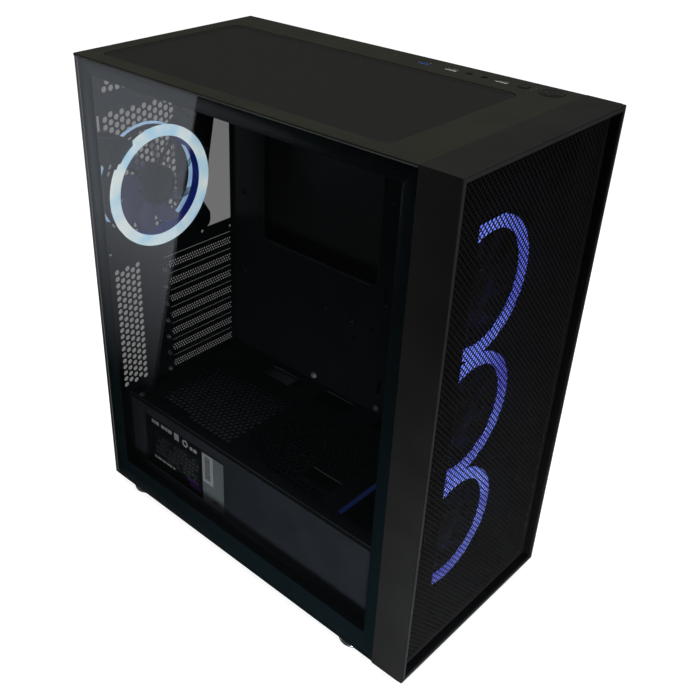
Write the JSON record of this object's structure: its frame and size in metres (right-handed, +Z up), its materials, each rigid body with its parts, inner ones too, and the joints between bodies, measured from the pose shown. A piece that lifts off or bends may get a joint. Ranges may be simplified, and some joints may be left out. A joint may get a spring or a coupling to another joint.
{
  "type": "desktop computer tower",
  "caption": "Black mid-tower desktop computer with a tinted glass side, a mesh front over ring-lit fans, a shrouded power supply and a filtered top.",
  "frame": {"origin": "on the floor under the middle of the overall box", "axes": "+X to the right side seen from the front, +Y to the rear, +Z up; the front faces -Y"},
  "size_m": [0.212, 0.407, 0.4726],
  "materials": {
    "black_steel": "fine matt powder coat",
    "outer_steel": "fine textured powder coat",
    "tinted_glass": "polished, tinted",
    "bezel_plastic": "satin grained",
    "mesh_steel": "satin powder coat",
    "filter_mesh": "woven dust mesh",
    "fan_plastic": "moulded",
    "ring_light": "lit diffuser",
    "psu_steel": "matt powder coat",
    "socket_plastic": "moulded",
    "button_plastic": "satin",
    "port_steel": "bright",
    "clear_plastic": "clear",
    "screw_steel": "zinc plated",
    "thumb_steel": "satin black",
    "foot_plastic": "silver",
    "rubber": "matt",
    "board": "solder mask"
  },
  "bodies": {
    "case": {"audio_jacks": "socket_plastic", "chassis_floor": "black_steel", "drive_bracket": "black_steel", "drive_cage": "black_steel", "fan_screws": "screw_steel", "feet": "foot_plastic", "foot_pads": "rubber", "front_fan_frames": "fan_plastic", "front_wall": "black_steel", "io_board": "board", "light_rings": "ring_light", "motherboard_tray": "black_steel", "psu_housing": "psu_steel", "psu_inlet": "socket_plastic", "psu_pads": "rubber", "psu_shroud": "black_steel", "rear_fan_frame": "fan_plastic", "rear_panel": "black_steel", "rocker_frame": "socket_plastic", "shroud_screws": "screw_steel", "slot_cover_1": "black_steel", "slot_cover_2": "black_steel", "slot_cover_3": "black_steel", "slot_cover_4": "black_steel", "slot_cover_5": "black_steel", "slot_cover_6": "black_steel", "slot_cover_7": "black_steel", "slot_screws": "screw_steel", "status_lights": "clear_plastic", "top_panel": "outer_steel", "usb2_ports": "port_steel", "usb3_port": "port_steel"},
    "front_rotor_1": {"front_fan_rotor_1": "fan_plastic"},
    "front_rotor_2": {"front_fan_rotor_2": "fan_plastic"},
    "front_rotor_3": {"front_fan_rotor_3": "fan_plastic"},
    "rear_rotor": {"rear_fan_rotor": "fan_plastic"},
    "psu_rotor": {"psu_fan_rotor": "fan_plastic"},
    "power_key": {"power_button": "button_plastic"},
    "reset_key": {"reset_button": "button_plastic"},
    "rocker": {"power_rocker": "socket_plastic"},
    "glass_side": {"glass_pane": "tinted_glass", "glass_frame": "outer_steel", "glass_thumbscrews": "thumb_steel"},
    "steel_side": {"side_panel": "outer_steel", "side_thumbscrews": "thumb_steel"},
    "front": {"front_bezel": "bezel_plastic", "front_mesh": "mesh_steel"},
    "top_dust_filter": {"top_filter": "filter_mesh"},
    "bottom_dust_filter": {"bottom_filter": "filter_mesh"}
  },
  "joints": [
    {"name": "front_fan_spin_1", "type": "hinge", "parent": "case", "child": "front_rotor_1", "pos_m": [-0.009, -0.1633, 0.108], "axis": [0, 1, 0], "continuous": true},
    {"name": "front_fan_spin_2", "type": "hinge", "parent": "case", "child": "front_rotor_2", "pos_m": [-0.009, -0.1633, 0.228], "axis": [0, 1, 0], "continuous": true},
    {"name": "front_fan_spin_3", "type": "hinge", "parent": "case", "child": "front_rotor_3", "pos_m": [-0.009, -0.1633, 0.348], "axis": [0, 1, 0], "continuous": true},
    {"name": "rear_fan_spin", "type": "hinge", "parent": "case", "child": "rear_rotor", "pos_m": [-0.04, 0.1789, 0.3395], "axis": [0, 1, 0], "continuous": true},
    {"name": "psu_fan_spin", "type": "hinge", "parent": "case", "child": "psu_rotor", "pos_m": [0, 0.1229, 0.0322], "axis": [0, 0, 1], "continuous": true},
    {"name": "power_press", "type": "slide", "parent": "case", "child": "power_key", "axis": [0, 0, -1], "range_m": [0, 0.0015], "stiffness_N_per_m": 600, "springref_m": -0.001},
    {"name": "reset_press", "type": "slide", "parent": "case", "child": "reset_key", "axis": [0, 0, -1], "range_m": [0, 0.001], "stiffness_N_per_m": 600, "springref_m": -0.001},
    {"name": "rocker_tilt", "type": "hinge", "parent": "case", "child": "rocker", "pos_m": [0.048, 0.1897, 0.039], "axis": [0, 0, -1], "range_deg": [0, 12]},
    {"name": "glass_slide", "type": "slide", "parent": "case", "child": "glass_side", "axis": [0, 1, 0], "range_m": [0, 0.375]},
    {"name": "panel_slide", "type": "slide", "parent": "case", "child": "steel_side", "axis": [0, 1, 0], "range_m": [0, 0.375]},
    {"name": "bezel_pull", "type": "slide", "parent": "case", "child": "front", "axis": [0, -1, 0], "range_m": [0, 0.06]},
    {"name": "top_filter_lift", "type": "slide", "parent": "case", "child": "top_dust_filter", "axis": [0, 0, 1], "range_m": [0, 0.08]},
    {"name": "bottom_filter_slide", "type": "slide", "parent": "case", "child": "bottom_dust_filter", "axis": [0, 1, 0], "range_m": [0, 0.16]}
  ]
}
